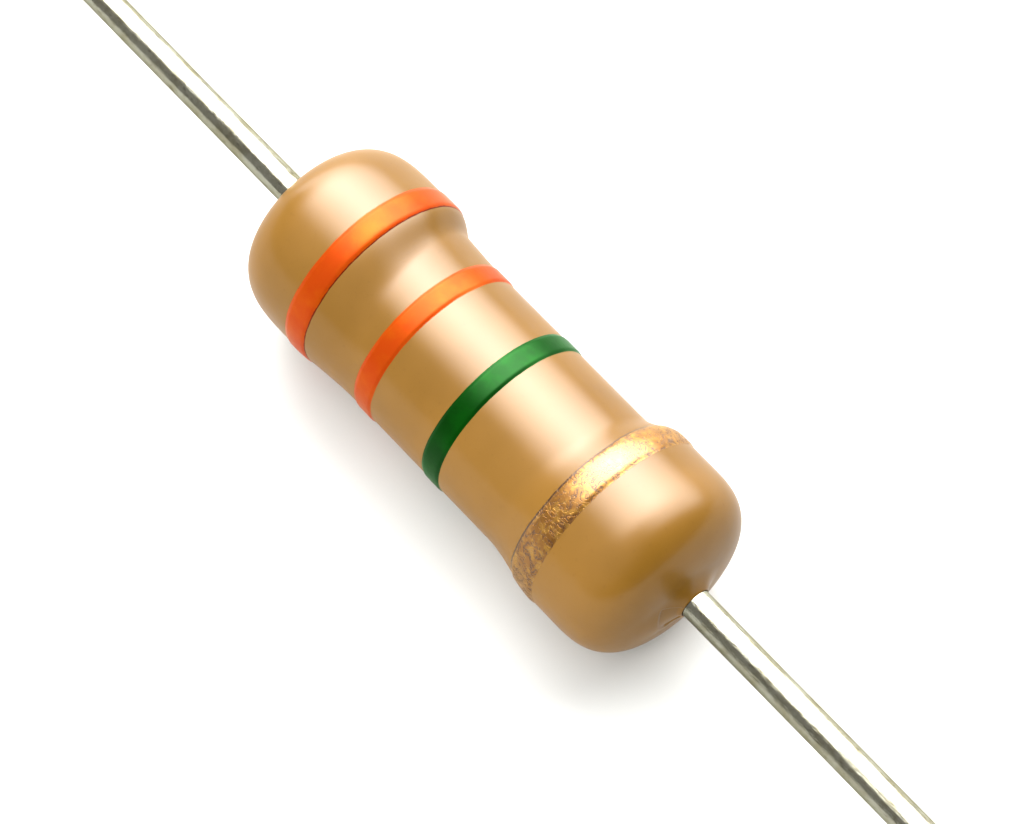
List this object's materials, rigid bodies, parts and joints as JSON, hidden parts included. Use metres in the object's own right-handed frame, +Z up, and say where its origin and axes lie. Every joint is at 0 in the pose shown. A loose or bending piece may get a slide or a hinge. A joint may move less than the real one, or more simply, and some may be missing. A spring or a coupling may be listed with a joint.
{
  "type": "axial resistor",
  "caption": "Axial-lead carbon-film resistor: a lacquered dog-bone body with colour bands and a straight wire lead at each end.",
  "frame": {"origin": "on the lead axis, midway along the lacquered body", "axes": "+X along the leads towards the tolerance band's end, +Z up, +Y across"},
  "size_m": [0.0682, 0.0046, 0.0046],
  "materials": {
    "lacquer": "gloss",
    "orange_paint": "gloss",
    "green_paint": "gloss",
    "gold_paint": "satin",
    "tinned_wire": "satin",
    "core_ceramic": "matte",
    "film_carbon": "satin",
    "cap_steel": "satin"
  },
  "bodies": {
    "root": {"lacquer_coat": "lacquer", "first_digit_band": "orange_paint", "second_digit_band": "orange_paint", "multiplier_band": "green_paint", "tolerance_band": "gold_paint", "left_lead": "tinned_wire", "right_lead": "tinned_wire", "ceramic_core": "core_ceramic", "carbon_film": "film_carbon", "left_end_cap": "cap_steel", "right_end_cap": "cap_steel"}
  },
  "joints": []
}
